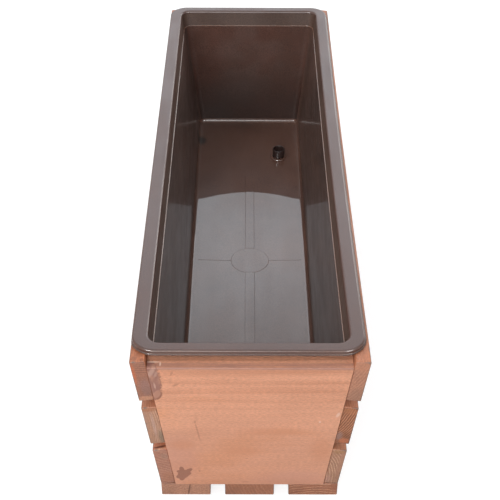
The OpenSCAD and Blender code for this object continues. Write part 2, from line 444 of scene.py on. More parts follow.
# Rounds the edges, slices the board along its grain and lets its faces waver by a hair
def finishBoard(bm, grainAxis, edge=1.0, wander=0.12, slices=36, seed=0.0):
    bevel(bm, bm.edges, edge, 3)
    low = min(v.co[grainAxis] for v in bm.verts)
    high = max(v.co[grainAxis] for v in bm.verts)
    sliceAcross(bm, grainAxis, [low + (high - low) * index / slices for index in range(1, slices)])
    bm.normal_update()
    waves = 14   # to the metre
    moves = []
    for vertex in bm.verts:
        where = Vector(vertex.co) * waves + Vector((seed, seed * 0.7, -seed))
        depth = 0.5 + 0.5 * noise.noise(where)
        moves.append(vertex.normal * (-wander * depth * mm))
    for vertex, move in zip(bm.verts, moves):
        vertex.co += move
    smoothFaces(bm)


def toObject(bm, name):
    mesh = bpy.data.meshes.new(name)
    bm.to_mesh(mesh)
    bm.free()
    made = bpy.data.objects.new(name, mesh)
    scene.collection.objects.link(made)
    return made


def dress(piece, material):
    piece.data.materials.append(material)
    weighNormals(piece)


def weighNormals(piece):
    modifier = piece.modifiers.new("weighted", "WEIGHTED_NORMAL")
    modifier.keep_sharp = True
    modifier.weight = 80


# Cuts round holes at places with a direction, and keeps the result as the piece's own mesh; sizes in mm
def cutHoles(piece, places, width, depth, segments):
    bm = bmesh.new()
    radius = width / 2 * mm
    for where, inward in places:
        place = Matrix.Translation(where) @ inward.to_track_quat("Z", "Y").to_matrix().to_4x4()
        bmesh.ops.create_cone(bm, cap_ends=True, segments=segments, radius1=radius, radius2=radius,
                              depth=depth * mm, matrix=place)
    cutter = toObject(bm, "cutter")
    modifier = piece.modifiers.new("holes", "BOOLEAN")
    modifier.operation = "DIFFERENCE"
    modifier.solver = "EXACT"
    modifier.object = cutter
    graph = bpy.context.evaluated_depsgraph_get()
    mesh = bpy.data.meshes.new_from_object(piece.evaluated_get(graph))
    piece.modifiers.clear()
    piece.data = mesh
    bpy.data.objects.remove(cutter)


def onSlope(side, up, depth=0, y=0):   # so far up a side's outer face, and so deep under it, in mm
    x = box["footWidth"] / 2 + up * math.sin(lean) - depth * math.cos(lean)
    return Vector((side * x, y, box["floorThick"] + up * math.cos(lean) + depth * math.sin(lean)))


def sideNailPlaces(side, level):
    lost = 0
    if level == 2:
        lost = box["boardDrop"] / math.cos(lean) + nails["length"] * math.tan(lean)
    inward = Vector((-side * math.cos(lean), 0, math.sin(lean)))
    y = abs(boardMiddle) - nails["stagger"] / 2
    places = []
    for end in (-1, 1):
        for share in (0.25, 0.75):
            up = level * (box["sideWidth"] + box["sideGap"]) + share * (box["sideWidth"] - lost)
            places.append((onSlope(side, up, y=end * y) * mm, inward))
    return places


def floorNailPlaces(place):
    if place == 0:
        spots = [-box["floorWidth"] / 4, box["floorWidth"] / 4]
    else:
        near = box["footWidth"] / 2 - box["floorWidth"]
        far = innerHalfWidth(box["floorThick"])
        spots = [place * (near + share * (far - near)) for share in (0.25, 0.75)]
    y = abs(boardMiddle) + nails["stagger"] / 2
    return [(Vector((x, end * y, 0)) * mm, Vector((0, 0, 1))) for end in (-1, 1) for x in spots]


def placePiece(piece, node, body="box"):
    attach(piece, body)
    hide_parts(node)


def dressBoard(bm, name, look, nailPlaces=(), marks=None):
    piece = toObject(bm, name + "_board")
    if nailPlaces:
        cutHoles(piece, nailPlaces, nails["headHole"], 2 * nails["holeDepth"], 20)
    dress(piece, woodMaterial(name + "_wood", look, marks))
    placePiece(piece, name)


# Looks of the six side slats. Pith, knots and spots are in the slat's own mm: x through it and outwards on
# the right side, y along it, z up its width
sideLook = dict(
    half=(box["sideThick"] / 2, box["slatLength"] / 2, box["sideWidth"] / 2), streak=0.3, pores=0.2,
    contrast=0.42, dim=0.86, early=(188, 134, 110), late=(146, 90, 66), warm=(192, 118, 78),
    warmth=0.6, endDark=(164, 112, 90), endPale=(204, 158, 132), endShade=(132, 84, 64),
    # edge colour: wear, and painted shade on the outer edges
    edge=0.85, edgeWearShadeColour=(112, 94, 82),
)
sideSlats = {
    "left_top_slat": dict(
        pith=(6, 96), tilt=(1.2, 0, 0.4), ring=2.5, wobble=2.5, early=(176, 108, 74),
        knots=[(188, -9, 4.5)], pores=0.45,
        topSpots=[(-3, -302, 2.6, 2.4, 20, (128, 78, 54), 0.5), (2, -297, 2.6, 3.6, 0, (138, 84, 60), 0.5),
               (-1, -288, 6, 2.2, 0, (112, 72, 56), 0.4), (4, -304, 1.6, 2, 0, (118, 72, 52), 0.5)],
        endDark=(168, 114, 91), endPale=(118, 80, 63), endZone=(2, 6, 11, 0.12),
        endSpots=[(-5.6, 10, 2.2, 12, 0, (198, 108, 68), 0.7), (2, -7, 4.6, 10, 0, (150, 114, 106), 0.6),
                  (0, -20, 7, 2.6, 0, (208, 150, 118), 0.8)]),
    "left_middle_slat": dict(
        pith=(-90, 10), tilt=(0.5, 0, 1.6), ring=2.0, wobble=2, early=(186, 130, 104),
        knots=[(60, 4, 8)], endDark=(182, 134, 106), endPale=(226, 184, 160),
        endLine=(0.55, 0.95), endShade=(156, 112, 92), endZone=(0, -4, 1, 0.25),
        endSpots=[(5, -14, 2.6, 8, 0, (140, 118, 98), 0.75), (-5.4, 6, 1.6, 16, 0, (176, 138, 120), 0.5),
                  (0.5, 0, 1.3, 15, 0, (196, 160, 146), 0.6), (0, 21, 7, 3, 0, (176, 112, 78), 0.7)]),
    "left_bottom_slat": dict(
        pith=(40, 70), tilt=(0.8, 0, -1.2), ring=3.2, early=(190, 122, 94),
        knots=[(-210, -6, 5), (132, 8, 7)],
        topSpots=[(0.4, -302.6, 6.2, 1.0, 9, (92, 52, 38), 0.85),
               (0.8, -304.8, 5.8, 0.7, 9, (228, 182, 152), 0.5)],
        endDark=(174, 120, 98), endPale=(194, 142, 118), endShade=(140, 90, 72),
        endSpots=[(3, 14, 4, 4, 0, (158, 122, 104), 0.5), (1, -14, 5, 6, 0, (186, 120, 88), 0.4)]),
    "right_top_slat": dict(
        pith=(-90, 40), tilt=(-0.9, 0, 1.0), ring=2.6, early=(181, 116, 84), bow=1.3,
        knots=[(142, 3, 7), (-42, -10, 4)], endDark=(181, 125, 99), endPale=(202, 149, 121),
        endShade=(146, 94, 70),
        endSpots=[(0, 18, 7, 6, 0, (196, 134, 104), 0.6), (1, -16, 6, 8, 0, (164, 122, 100), 0.4)]),
    "right_middle_slat": dict(
        pith=(-62, 37), tilt=(1.0, 0, -0.8), ring=2.1, wobble=2, early=(184, 124, 92),
        knots=[(-150, 5, 6)], endDark=(136, 82, 52), endPale=(206, 140, 104), endContrast=0.95,
        endLine=(0.35, 0.8), endZone=(2, -16, -6, 0.3), endShade=(140, 92, 66),
        endSpots=[(-4, -13, 3, 5, 0, (150, 120, 112), 0.6), (1.5, -19, 4.4, 3.4, 0, (206, 120, 80), 0.7),
                  (1, 19, 6, 4, 0, (186, 118, 78), 0.5)]),
    "right_bottom_slat": dict(
        pith=(-62, -22), tilt=(-0.6, 0, 1.4), ring=2.5, wobble=2.5, early=(184, 130, 98),
        knots=[(24, -7, 7), (235, 8, 4.5)], endDark=(172, 124, 97), endPale=(222, 181, 153),
        endLine=(0.5, 0.95), endContrast=0.75, endShade=(136, 96, 76), endZone=(0, 3.4, 1.4, 0.1),
        endSpots=[(4, 2, 2.4, 16, 0, (176, 128, 104), 0.6), (-4, -17, 3, 5, 0, (186, 136, 120), 0.6),
                  (0, 21, 5, 3, 0, (168, 122, 76), 0.5)]),
}


def makeSideSlat(name, side, level, look):
    bm = newBlock(metresOf((box["sideThick"], box["slatLength"], box["sideWidth"])))
    finishBoard(bm, 1, seed=3.1 * level + side)
    if "bow" in look:   # this slat leans in at its middle and keeps its ends
        for vertex in bm.verts:
            vertex.co.x -= side * look["bow"] * bowShare(vertex.co.y / mm) * mm
    up = level * (box["sideWidth"] + box["sideGap"]) + box["sideWidth"] / 2
    centre = onSlope(side, up, box["sideThick"] / 2)
    place = Matrix.Translation(centre * mm) @ Matrix.Rotation(side * lean, 4, "Y")
    bmesh.ops.transform(bm, verts=bm.verts, matrix=place)
    full = {**sideLook, **look, "centre": centre, "turn": (0, side * box["lean"], 0), "outward": side}
    dressBoard(bm, name, full, sideNailPlaces(side, level))


for side, word in ((-1, "left"), (1, "right")):
    for level, height in enumerate(("bottom", "middle", "top")):
        slatName = word + "_" + height + "_slat"
        makeSideSlat(slatName, side, level, sideSlats[slatName])
print("side slats made")

# Floor slats, rougher and a little greyer
floorLook = dict(
    turn=(0, 90, 0), half=(box["floorThick"] / 2, box["slatLength"] / 2, box["floorWidth"] / 2),
    streak=0.35, pores=0.25, contrast=0.6, dim=0.84, early=(192, 134, 104),
    late=(146, 88, 62), warm=(190, 118, 80), warmth=0.5, endDark=(156, 104, 76),
    endPale=(202, 150, 118), endShade=(126, 78, 56), edge=0.4, edgeWearShadeColour=(118, 84, 68),
)
floorSlats = {
    "left_floor_slat": dict(
        place=-1, pith=(60, 40), tilt=(0.7, 0, 1.1), ring=3.0, knots=[(40, 3, 7)],
        endContrast=0.35, endDark=(181, 129, 103), endSpots=[(0, 3, 8, 0.8, 8, (110, 70, 52), 0.8)]),
    "centre_floor_slat": dict(
        place=0, pith=(-30, 60), tilt=(-0.8, 0, 0.9), ring=3.2, endContrast=0.4,
        knots=[(-170, -6, 6), (120, 7, 5)], endDark=(158, 102, 74), endPale=(184, 126, 94)),
    "right_floor_slat": dict(
        place=1, pith=(-110, 10), tilt=(0.9, 0, -0.8), ring=2.4, wobble=2,
        knots=[(210, 2, 6)], endDark=(150, 90, 62), endPale=(230, 172, 136), endContrast=0.9,
        endLine=(0.6, 0.95)),
}


def makeFloorSlat(name, look):
    centre = (look["place"] * (box["floorWidth"] + box["floorGap"]), 0, box["floorThick"] / 2)
    bm = newBlock(metresOf((box["floorWidth"], box["slatLength"], box["floorThick"])))
    finishBoard(bm, 1, edge=0.8, seed=11.0 + look["place"])
    bmesh.ops.translate(bm, verts=bm.verts, vec=metresOf(centre))
    full = {**floorLook, **look, "centre": centre}
    dressBoard(bm, name, full, floorNailPlaces(look["place"]))


for slatName, slatLook in floorSlats.items():
    makeFloorSlat(slatName, slatLook)
print("floor slats made")

# End boards; in the look, y runs across the planter, which is the way of the grain, and z up
boardLook = dict(
    turn=(0, 0, 90), grain=(1, 0, 0), half=(8, 400, 74.25), wobble=12, streak=0.16,
    pores=0.06, contrast=0.34, relief=0.25, dim=0.95, early=(230, 166, 134),
    late=(200, 132, 98), warm=(218, 148, 106), warmth=0.55, endDark=(160, 104, 78), endPale=(204, 158, 130),
    # edge colour: wear, and painted shade that dulls the lit top edge
    endShade=(132, 80, 58), edge=0.6, edgeWearShadeColour=(166, 114, 92),
)
endBoards = {
    "front_end_board": dict(
        end=-1, pith=(140, 150), tilt=(0.4, 0, 0.5), ring=5.5, contrast=0.56,
        grainTop=(10, 52, 0.15), streak=0.42),
    "rear_end_board": dict(
        end=1, pith=(-70, 40), tilt=(0.6, 0, -2.2), ring=4.6, knots=[(-38, 22, 9), (44, -36, 6)]),
}
# Spots on the front board: x and z of the centre and radii in mm, and turn in degrees, as seen from the
# front; some also have their depth and y. First the tones and the painted shade: colour, strength and spots
frontFace = -307
frontDepth = 5
frontTonesAndShade = [
    # tones of the wood
    ((206, 150, 134), 0.45, [(-62, 52, 16, 26, 0), (40, 24, 30, 12, 0)]),
    ((214, 140, 98), 0.4, [(-6, 62, 14, 5, 0), (-58, 70, 10, 6, 0), (62, 64, 9, 14, 0), (20, 88, 26, 4, 0)]),
    # painted shade: darker along the bottom and just under the top edge
    ((190, 128, 98), 0.4, [(0, 12, 80, 12, 0), (10, 161, 90, 5, 0)]),
    # painted shade: darker over the lower half
    ((190, 132, 106), 0.36, [(0, 46, 110, 62, 0)]),
]
frontColours = dict(
    dark=(148, 102, 92), tan=(186, 134, 112), line=(126, 76, 60), pale=(240, 204, 184),
    # top is the colour of the painted shade on the board's top face
    top=(150, 112, 104), leaf=(122, 72, 56), mark=(142, 84, 60),
)
# Painted shade on the front strip of the board's top face and its edge, broken up by the fibre: from where to
# where it starts, in z and in y in mm, and how strong it is
topStripShade = {"z": (161.2, 164.2), "y": (-301.7, -300.3), "strength": (0.25, 0.6)}
# Marks in the order in which they are painted: colour, strength, raggedness, softness and spots
frontMarkList = [
    # Bark edge and torn grain at the upper left, with a scratch on the board's top
    ("line", 0.7, 0.6, 0.08, [(-81.5, 150, 9.2, 21.8, -5, 12)]),
    ("torn", 0.85, 0.6, 0.08, [(-81.5, 150, 8.4, 21, -5, 12)]),
    ("pale", 0.3, 0.9, 0.5, [(-79.8, 159.6, 2.0, 5.4, 24)]),
    ("pale", 0.24, 0.9, 0.5, [(-76.4, 157.4, 1.1, 3.6, 20)]),
    ("dark", 0.7, 0.9, 0.5, [(-77.4, 143, 3.4, 9, 0)]),
    ("pale", 0.35, 0.9, 0.5, [(-77.8, 144, 0.7, 3.6, -8)]),
    ("line", 0.75, 0.5, 0.16, [(-75.6, 132.6, 3.0, 5.6, 24)]),
    ("tan", 0.85, 0.5, 0.2, [(-76.6, 133.8, 2.8, 5.2, 24)]),
    ("pale", 0.8, 0.5, 0.4, [(-78.6, 164.5, 5.6, 3, 0, 0.8, -299.8), (-72.6, 164.5, 0.7, 3, 0, 2.2, -302)]),
    # Brown stain at the lower left, then small marks all over
    ("leaf", 0.68, 0.3, 0.14, [
        (-58.4, 30.8, 5, 6.2, 20), (-59.6, 36.4, 2.2, 4.6, -6), (-54.2, 35.2, 4.8, 2.2, -42),
        (-61.6, 27.6, 3.6, 2.6, -28), (-59.8, 25.4, 2.4, 3.6, 16), (-61.8, 34, 2.6, 2, 31),
        (-55, 31.4, 3.6, 2.6, -20)]),
    ("mark", 0.36, 0.5, 0.4, [
        (-46.3, 99.9, 1, 1.6, 0), (-44.4, 88, 0.7, 11, -9), (-44.2, 35, 0.8, 1.2, 0),
        (-53.6, 15.8, 1.4, 1, 0), (-60.6, 145.2, 3.2, 1.1, -30), (-63.5, 158.5, 0.9, 2.6, 20),
        (-4, 20, 3.2, 0.5, 0), (-2.4, 52.5, 1.2, 0.6, 0)]),
    ("pale", 0.6, 0.4, 0.3, [(58.9, 100.2, 0.9, 1.2, 0)]),
    ("pale", 0.6, 0.6, 0.5, [(73.6, 109, 1.2, 3.0, 20)]),
]


def frontSpot(coords, ragged, soft, x, z, radiusX, radiusZ, turn, depth=frontDepth, y=frontFace):
    return spotMask(coords, (x, y, z), (radiusX, depth, radiusZ), (0, turn, 0), ragged, soft)


def frontMarks(coords, colour):
    # tones of the wood, then painted shade towards the bottom and under the top edge
    for shade, strength, spots in frontTonesAndShade:
        for spot in spots:
            colour = cover(colour, frontSpot(coords, 0.7, 0.6, *spot), strength, paint(*shade))
    x, y, z = addNode("SeparateXYZ", {0: coords})
    # painted shade on the front of the board's top face
    stripShade = times(fade(z, *metresOf(topStripShade["z"])), fade(y, *metresOf(topStripShade["y"]), 1.0, 0.0))
    fibres = noiseAt(coords, (0.05, 1, 1), 700, 2)
    colours = {key: paint(*value) for key, value in frontColours.items()}
    colour = cover(colour, stripShade, fade(fibres, 0.3, 0.7, *topStripShade["strength"]), colours["top"])
    mottle = noiseAt(coords, (1, 1, 0.6), 120, 3, 0.6)
    colours["torn"] = blend(fade(mottle, 0.38, 0.62), colours["tan"], colours["dark"])
    for key, strength, ragged, soft, spots in frontMarkList:
        mask = 0.0
        for spot in spots:
            mask = calc("MAXIMUM", frontSpot(coords, ragged, soft, *spot), mask)
        colour = cover(colour, mask, strength, colours[key])
    return colour


def makeEndBoard(name, look):
    low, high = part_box(name)
    centre = (low + high) / 2
    foot = innerHalfWidth(box["floorThick"]) * mm
    head = innerHalfWidth(boardTop) * mm
    bm = newBlock(high - low)
    for vertex in bm.verts:
        vertex.co.x = math.copysign(head if vertex.co.z > 0 else foot, vertex.co.x)
    finishBoard(bm, 0, edge=0.7, wander=0.05, slices=14, seed=20.0 + look["end"])
    bmesh.ops.translate(bm, verts=bm.verts, vec=centre)
    marks = frontMarks if look["end"] < 0 else None
    dressBoard(bm, name, {**boardLook, **look, "centre": centre / mm}, marks=marks)


for boardName, endLook in endBoards.items():
    makeEndBoard(boardName, endLook)
print("end boards made")


# Nails: the frame's own solids, with their edges eased
nailLook = {
    "metal": paint(150, 146, 140),
    "rust": paint(104, 62, 40),
    "ease": 0.25,     # mm
}


def nailMaterial():
    material, tree, shader = newMaterial("nail_steel")
    spots = noiseAt(tree.nodes.new("ShaderNodeTexCoord").outputs["Object"], (1, 1, 1), 700, 3, 0.65)
    rusty = fade(spots, 0.5, 0.68)
    feed(shader, {"Base Color": blend(rusty, nailLook["metal"], nailLook["rust"]),
                  "Metallic": fade(rusty, 0.0, 1.0, 0.9, 0.1), "Roughness": fade(rusty, 0.0, 1.0, 0.38, 0.8)})
    addRelief(shader, spots, 0.5, 0.1)
    return material


steel = nailMaterial()
for nodeName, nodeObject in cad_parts.items():
    if nodeName.endswith("_nails"):
        nodeObject.data.materials.clear()
        nodeObject.data.materials.append(steel)
        weld = nodeObject.modifiers.new("weld", "WELD")
        weld.merge_threshold = 0.002 * mm
        ease = nodeObject.modifiers.new("ease", "BEVEL")
        ease.width = nailLook["ease"] * mm
        ease.segments = 2
        ease.limit_method = "ANGLE"
        ease.angle_limit = math.radians(50)
print("nails finished")


# Plastic trough: one closed shell, from the underside of its floor up and round the rim and back down inside.
# Sizes are half width, half length and corner radius in mm
trough = {
    "wall": 1.0,
    "flange": (95.0, 300.4, 18.9),   # the rim's upper face
    "flangeRound": 2.0,
    "leftWider": 0.8,          # the rim is a little wider on its left side
    "skirtHeight": 4.5,
    "lip": 1.0,                # how far the skirt's foot stands out
    "mouth": (82.0, 289.2, 10),
    "mouthRound": 3.0,
    "collar": (79.9, 286.6, 9.6),
    "ledge": (79.1, 285.6, 9.2),
    "ledgeDrop": 18,           # from the rim's top to the ledge
    "ledgeRound": 0.3,
    "foot": (64.8, 281.7, 8),  # where the walls turn into the floor
    "footRound": 4.5,
    "beadAbove": 8.4,          # faint line across the end walls, above the floor
    "beadOut": 0.22,
    "floorTop": 20.8,
    "floorShift": 0.7,         # the floor lies a little to the right of the rim
    "shiftFade": (20, 150),    # heights from where to where the shift ends
    "sag": 3.25,               # thin floor, hanging in its middle
    "sagHalfWidth": 60,
    "sagAtSides": 0.68,
    "sagLevel": (80, 155),     # distance from the middle at which the sag starts to end, and ends
    "sagLevelNear": (150, 230),
    "sagEarlier": 20,          # at the sides it starts to end nearer the middle
    "sagFade": (25.3, 60),
    "bow": 1.5,                # right side of the rim, pulled in by the bowed slat
    "bowUneven": 0.25,
    "bowFrom": 40,             # from the middle
    "bowRise": (100, 172),     # heights from where to where the bow grows
    "leftFade": (86, 92),
}
troughLow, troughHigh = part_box("trough")
troughX, troughY = ((troughLow + troughHigh) / 2 / mm).xy
rimTop = troughHigh.z / mm
rimLow = rimTop - trough["skirtHeight"]
ledgeTop = rimTop - trough["ledgeDrop"]


def grow(size, amount):
    return (size[0] + amount, size[1] + amount, max(size[2] + amount, 0.6))


def between(first, second, share):
    return tuple(a + (b - a) * share for a, b in zip(first, second))


# Rounding as a fan of stations: angles in degrees, 0 outwards, 90 up
def bend(size, outset, height, radius, start, stop, steps=5):
    fan = []
    for index in range(steps + 1):
        angle = math.radians(start + (stop - start) * index / steps)
        fan.append((*grow(size, outset + radius * math.cos(angle)), height + radius * math.sin(angle)))
    return fan


# Stations of the shell: half width, half length, corner radius, height
def troughStations():
    names = ("ledge", "collar", "mouth", "flange", "foot")
    ledge, collar, mouth, flange, foot = (trough[name] for name in names)
    wall = trough["wall"]
    footRound = trough["footRound"]
    footTop = trough["floorTop"] + footRound
    inner = trough["mouthRound"]
    edge = trough["flangeRound"]
    small = trough["ledgeRound"]
    heights = (ledgeTop - small, footTop)

    def wallAt(height, outset=0.0):
        share = (heights[0] - height) / (heights[0] - heights[1])
        return (*grow(between(ledge, foot, share), outset), height)

    # Underside and outside
    stations = bend(foot, -footRound, footTop, footRound + wall, -90, 0, 7)
    stations += [wallAt(height, wall) for height in (40, 60, 90, 125)]
    stations += [(*grow(ledge, wall), ledgeTop - wall), (*grow(collar, wall), ledgeTop - wall + 0.3)]
    stations += bend(mouth, inner, rimTop - inner, inner - wall, 180, 90)
    # Rim: under the flange, down the skirt, round its foot and up again
    stations += [(*grow(flange, -wall), rimTop - wall), (*grow(flange, -wall), rimLow)]
    stations += bend(flange, trough["lip"] - 0.5, rimLow + 0.5, 0.5, -90, 70)
    stations += bend(flange, 0.5, rimLow + 1.6, 0.5, -110, -180, 4)
    stations += bend(flange, -edge, rimTop - edge, edge, 0, 90)
    stations += bend(mouth, inner, rimTop - inner, inner, 90, 180, 8)
    # Inside: collar, ledge, sloping wall and floor
    stations += [(*collar, ledgeTop + small), (*grow(collar, -small * 0.3), ledgeTop + small * 0.3),
                 (*grow(collar, -small), ledgeTop), (*grow(ledge, small), ledgeTop),
                 (*grow(ledge, small * 0.3), ledgeTop - small * 0.3), (*ledge, ledgeTop - small)]
    stations += [wallAt(height) for height in (125, 90, 60, 40)]
    bead = trough["floorTop"] + trough["beadAbove"]
    for height, out in ((bead + 0.8, 0), (bead, trough["beadOut"]), (bead - 0.8, 0)):
        width, length, corner, level = wallAt(height)
        stations.append((width, length - out, corner, level))
    stations += bend(foot, -footRound, footTop, footRound, 0, -90, 8)
    return stations


def reshape(vertices, old, new):
    for vertex in vertices:
        signX = math.copysign(1, vertex.co.x)
        signY = math.copysign(1, vertex.co.y)
        corner = Vector((signX * (old[0] - old[2]), signY * (old[1] - old[2]), 0)) * mm
        offset = Vector((vertex.co.x - corner.x, vertex.co.y - corner.y, 0)) * (new[2] / old[2])
        newCorner = Vector((signX * (new[0] - new[2]), signY * (new[1] - new[2]), new[3])) * mm
        vertex.co = newCorner + offset


def smoothStep(low, high, value):
    share = min(1.0, max(0.0, (value - low) / (high - low)))
    return share * share * (3 - 2 * share)


# How far the floor hangs at x, y in mm from the trough's middle
def sagAt(x, y):
    side = min(abs(x) / trough["sagHalfWidth"], 1) ** 2
    start, stop = trough["sagLevel"] if y > 0 else trough["sagLevelNear"]
    level = 1 - smoothStep(start - trough["sagEarlier"] * side, stop, abs(y))
    return trough["sag"] * (1 - (1 - trough["sagAtSides"]) * side) * level


# The long right side leans in at its middle, with the slat outside it, and a little more at its near half
def bowAt(y):
    return bowShare(y) * (1 - trough["bowUneven"] * y / box["bowReach"])


def slackenTrough(bm):
    for vertex in bm.verts:
        x, y, z = vertex.co / mm
        drop = sagAt(x, y) * (1 - smoothStep(*trough["sagFade"], z))
        shift = trough["floorShift"] * (1 - smoothStep(*trough["shiftFade"], z))
        if x > trough["bowFrom"]:
            shift -= trough["bow"] * bowAt(y) * smoothStep(*trough["bowRise"], z)
        if z > rimLow and -x > trough["leftFade"][0]:
            past = min(1.0, max(0.0, -x - trough["flange"][0]) / trough["lip"])
            shift -= trough["leftWider"] * smoothStep(*trough["leftFade"], -x) * (1 - past)
        vertex.co += Vector((shift, 0, -drop)) * mm


def extrude(bm, face):   # gives the new face and its corners
    made = bmesh.ops.extrude_face_region(bm, geom=[face])["geom"]
    corners = [item for item in made if isinstance(item, bmesh.types.BMVert)]
    return [item for item in made if isinstance(item, bmesh.types.BMFace)][0], corners


def settle(bm, name, place):   # place in mm
    bmesh.ops.recalc_face_normals(bm, faces=bm.faces[:])
    smoothFaces(bm)
    bmesh.ops.translate(bm, verts=bm.verts, vec=metresOf(place))
    return toObject(bm, name)


def makeTroughShell():
    stations = troughStations()
    bm = bmesh.new()
    first = stations[0]
    bmesh.ops.create_grid(bm, x_segments=1, y_segments=1, size=1)
    bmesh.ops.scale(bm, verts=bm.verts, vec=(first[0] * mm, first[1] * mm, 1))
    bevel(bm, bm.verts, first[2], 14, "VERTICES")
    bmesh.ops.translate(bm, verts=bm.verts, vec=(0, 0, first[3] * mm))
    face = max(bm.faces, key=lambda item: item.calc_area())
    for before, station in zip(stations, stations[1:]):
        newFace, corners = extrude(bm, face)
        if before is not first:   # the first face stays, as the underside
            bmesh.ops.delete(bm, geom=[face], context="FACES_ONLY")
        face = newFace
        reshape(corners, before, station)
    # Slices across the shell, so that the thin plastic can sag and bow
    sliceAcross(bm, 1, metresOf([*range(-168, 169, 6), *range(-180, -277, -12), *range(180, 277, 12)]))
    sliceAcross(bm, 0, metresOf(range(-54, 55, 6)))
    slackenTrough(bm)
    return settle(bm, "trough_shell", (troughX, troughY, 0))


# The rim is matt and dusty, the side walls and the floor are glossy
plainPlastic = dict(roughness=0.5, gloss=0.3, coat=0.0, coatRoughness=0.1)
# The zones are one plastic, and their colours differ by painted light and shade: the floor and the lip
# lighter than the walls, the ledge lighter still as a painted highlight line
plasticLook = {
    "floor": dict(colour=(97, 66, 53), warm=(80, 53, 43), coat=1.0, coatRoughness=0.025,
                  spots=[((-61, 237, 21), (6, 9, 8), (26, 27, 24), 0.75)]),
    # side walls: painted light, lighter towards the far end
    "wall": dict(colour=(74, 54, 46), warm=(60, 44, 38), gloss=0.35, coat=0.34, coatRoughness=0.06,
                 shade=(1, 60, 240, 0.92, 1.6), spots=[((-68, 238, 27), (7, 11, 9), (26, 27, 24), 0.7)]),
    # end walls: painted shade, darker towards the bottom
    "end_wall": dict(colour=(80, 57, 49), warm=(88, 54, 43), coat=0.08, coatRoughness=0.2,
                     shade=(2, 30, 130, 0.42, 1.1)),
    # painted highlight: the ledge lighter than the rest
    "ledge": dict(colour=(120, 88, 72), warm=(110, 80, 66), roughness=0.3, gloss=0.6),
    "collar": dict(colour=(92, 70, 60), warm=(80, 60, 51), grain=0.01),
    "rim": dict(colour=(82, 54, 45), warm=(75, 49, 41), roughness=0.36, gloss=0.52, grain=0.05),
    "lip": dict(colour=(100, 69, 57), warm=(90, 61, 51), roughness=0.22, gloss=0.5, grain=0.01),
}


def plasticMaterial(name, ownLook):
    look = {**plainPlastic, **ownLook}
    material, tree, shader = newMaterial(name)
    coords = tree.nodes.new("ShaderNodeTexCoord").outputs["Object"]
    cloud = noiseAt(coords, (1, 1, 1), 9, 3, 0.6)
    colour = blend(fade(cloud, 0.3, 0.7), paint(*look["colour"]), paint(*look["warm"]))
    grain = noiseAt(coords, (1, 1, 1), 1100, 3, 0.6)
    speckAndShade = fade(grain, 0.3, 0.7, 0.72, 1.28)
    # painted light and shade: lighter or darker along one axis
    if "shade" in look:   # a slow change of tone along one axis
        axis, low, high, toLow, toHigh = look["shade"]
        place = addNode("SeparateXYZ", {0: coords})[axis]
        speckAndShade = times(speckAndShade, fade(place, low * mm, high * mm, toLow, toHigh))
    colour = shaded(colour, speckAndShade)
    for place, radii, spotColour, strength in look.get("spots", []):
        spot = spotMask(coords, place, radii, (0, 0, 0), 0.8, 0.5)
        colour = cover(colour, spot, strength, paint(*spotColour))
    smear = noiseAt(coords, (1, 0.3, 1), 40, 3, 0.6)
    rough = fade(smear, 0.35, 0.65, look["roughness"] * 0.85, look["roughness"] * 1.15)
    if "grain" in look:
        addRelief(shader, grain, 0.5, look["grain"])
    feed(shader, {"Base Color": colour, "Roughness": rough, "Specular IOR Level": look["gloss"],
                  "Coat Weight": look["coat"], "Coat Roughness": look["coatRoughness"]})
    return material


# Where the trough's looks meet: heights in mm, and how far a face has to be turned
zoneLimits = {
    "floorTop": 26,
    "ledgeMargin": 0.4,
    "lipMargin": 1,
    "rimHeight": 3.4,
    "endFacing": 0.6,
    "ledgeFacing": 0.3,
    "lipFacing": 0.75,
}


def troughZone(face):
    x, y, z = face.center / mm
    normal = face.normal
    outward = normal.x * (x - troughX) + normal.y * (y - troughY)
    if z < zoneLimits["floorTop"]:
        return "floor"
    if z < ledgeTop - zoneLimits["ledgeMargin"]:
        return "end_wall" if abs(normal.y) > zoneLimits["endFacing"] else "wall"
    if z < ledgeTop + zoneLimits["ledgeMargin"] and normal.z > zoneLimits["ledgeFacing"]:
        return "ledge"
    if z > rimLow - zoneLimits["lipMargin"] and outward > 0 and normal.z < zoneLimits["lipFacing"]:
        return "lip"
    return "collar" if z < rimTop - zoneLimits["rimHeight"] else "rim"


def dressTrough(piece):
    for zone, look in plasticLook.items():
        piece.data.materials.append(plasticMaterial("trough_" + zone + "_plastic", look))
    zones = list(plasticLook)
    for face in piece.data.polygons:
        face.material_index = zones.index(troughZone(face))


# Drain hole and plug
plugLow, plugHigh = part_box("drain_plug")
drainX, drainY = ((plugLow + plugHigh) / 2 / mm).xy
drain = {
    "hole": 11.1,
    "cutDepth": 12,
    "seat": 20,
    "seatTop": 21.6,
}
drainPlace = Vector(metresOf((drainX, drainY, trough["floorTop"])))
troughPiece = makeTroughShell()
cutHoles(troughPiece, [(drainPlace, Vector((0, 0, 1)))], drain["hole"], drain["cutDepth"], 48)
dressTrough(troughPiece)
plastic = troughPiece.data.materials[0]
weighNormals(troughPiece)
placePiece(troughPiece, "trough", "trough")
print("trough made:", len(troughPiece.data.polygons), "faces")


# Turns a closed profile of (radius, height) in mm round an upright line through the drain
def turned(name, profile, steps=48):
    bm = bmesh.new()
    vertices = [bm.verts.new(metresOf((radius, 0, height))) for radius, height in profile]
    edges = [bm.edges.new((vertices[index - 1], vertices[index])) for index in range(len(vertices))]
    bmesh.ops.spin(bm, geom=vertices + edges, cent=(0, 0, 0), axis=(0, 0, 1), angle=math.tau, steps=steps,
                   use_merge=True)
    bmesh.ops.remove_doubles(bm, verts=bm.verts, dist=0.001 * mm)
    return settle(bm, name, (drainX, drainY, 0))


